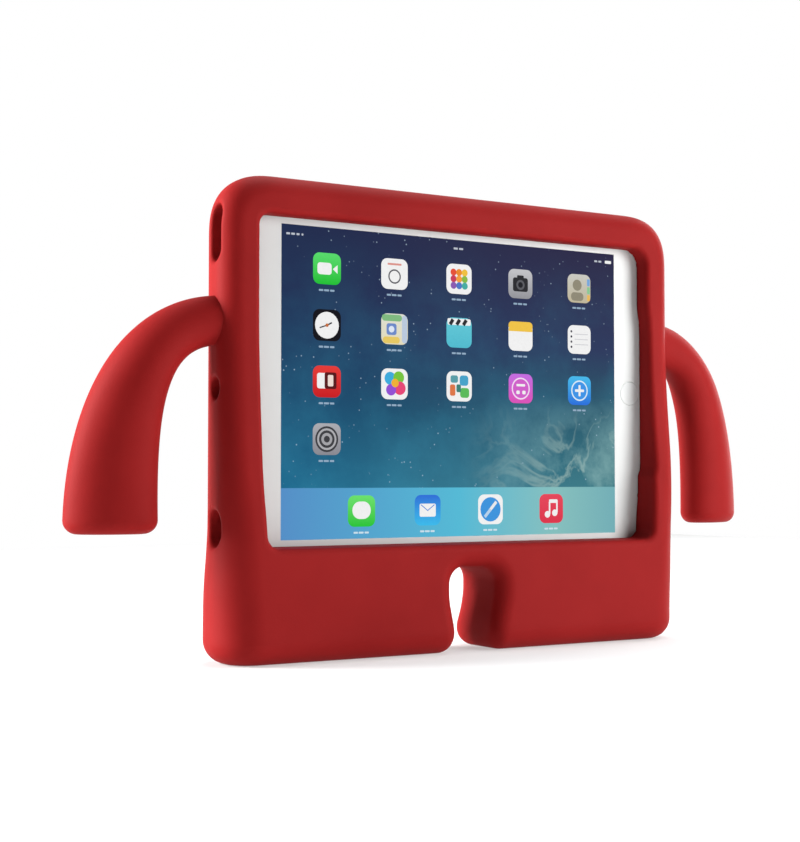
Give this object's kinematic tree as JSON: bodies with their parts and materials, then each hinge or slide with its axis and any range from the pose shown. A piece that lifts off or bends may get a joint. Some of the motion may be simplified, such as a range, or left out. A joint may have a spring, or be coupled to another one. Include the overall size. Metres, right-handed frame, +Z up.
{
  "type": "tablet case",
  "caption": "Upright foam case with bent side arms and two feet, holding a small tablet behind a raised front lip, with openings for its buttons, ports and rear camera.",
  "frame": {"origin": "the floor under the middle of the case's bounding box, as it stands on its feet", "axes": "+X from the left arm to the right arm as seen from the screen side, +Y from the screen to the back, +Z up"},
  "size_m": [0.32, 0.036, 0.1833],
  "materials": {
    "foam": "matte",
    "aluminium": "satin",
    "front_glass": "gloss",
    "display": "gloss",
    "white_plastic": "satin",
    "black_plastic": "matte",
    "lens": "polished",
    "board": "satin",
    "foil": "satin",
    "steel": "satin"
  },
  "bodies": {
    "case": {"case_shell": "foam", "front_lip": "foam", "left_foot": "foam", "right_foot": "foam"},
    "left_arm": {"left_arm": "foam"},
    "right_arm": {"right_arm": "foam"},
    "tablet": {"rear_housing": "aluminium", "front_glass": "front_glass", "display_panel": "display", "home_button_switch": "black_plastic", "power_switch": "black_plastic", "volume_switch": "black_plastic", "headphone_jack": "black_plastic", "microphone": "steel", "charging_port": "steel", "lower_speaker": "black_plastic", "upper_speaker": "black_plastic", "rear_camera": "black_plastic", "rear_camera_lens": "lens", "front_camera": "lens", "left_battery_cell": "foil", "right_battery_cell": "foil", "logic_board": "board", "port_board": "board"},
    "home_button": {"home_button": "white_plastic"},
    "power_button": {"power_button": "aluminium"},
    "volume_up_button": {"volume_up_button": "aluminium"},
    "volume_down_button": {"volume_down_button": "aluminium"},
    "mute_switch": {"mute_switch": "aluminium"}
  },
  "joints": [
    {"name": "tablet_removal", "type": "slide", "parent": "case", "child": "tablet", "axis": [0, -1, 0], "range_m": [0, 0.06], "deforming": ["front_lip"]},
    {"name": "left_arm_flex", "type": "hinge", "parent": "case", "child": "left_arm", "pos_m": [-0.113, -0.002, 0.128], "axis": [0, 1, 0], "range_deg": [-8, 30], "stiffness_Nm_per_rad": 1.5},
    {"name": "right_arm_flex", "type": "hinge", "parent": "case", "child": "right_arm", "pos_m": [0.113, -0.002, 0.128], "axis": [0, -1, 0], "range_deg": [-8, 30], "stiffness_Nm_per_rad": 1.5},
    {"name": "home_press", "type": "slide", "parent": "tablet", "child": "home_button", "axis": [0, 1, 0], "range_m": [0, 0.0004], "stiffness_N_per_m": 1500, "springref_m": -0.0004},
    {"name": "power_press", "type": "slide", "parent": "tablet", "child": "power_button", "axis": [1, 0, 0], "range_m": [0, 0.0004], "stiffness_N_per_m": 1500, "springref_m": -0.0004},
    {"name": "volume_up_press", "type": "slide", "parent": "tablet", "child": "volume_up_button", "axis": [0, 0, -1], "range_m": [0, 0.0004], "stiffness_N_per_m": 1500, "springref_m": -0.0004},
    {"name": "volume_down_press", "type": "slide", "parent": "tablet", "child": "volume_down_button", "axis": [0, 0, -1], "range_m": [0, 0.0004], "stiffness_N_per_m": 1500, "springref_m": -0.0004},
    {"name": "mute_slide", "type": "slide", "parent": "tablet", "child": "mute_switch", "axis": [1, 0, 0], "range_m": [0, 0.002]}
  ]
}
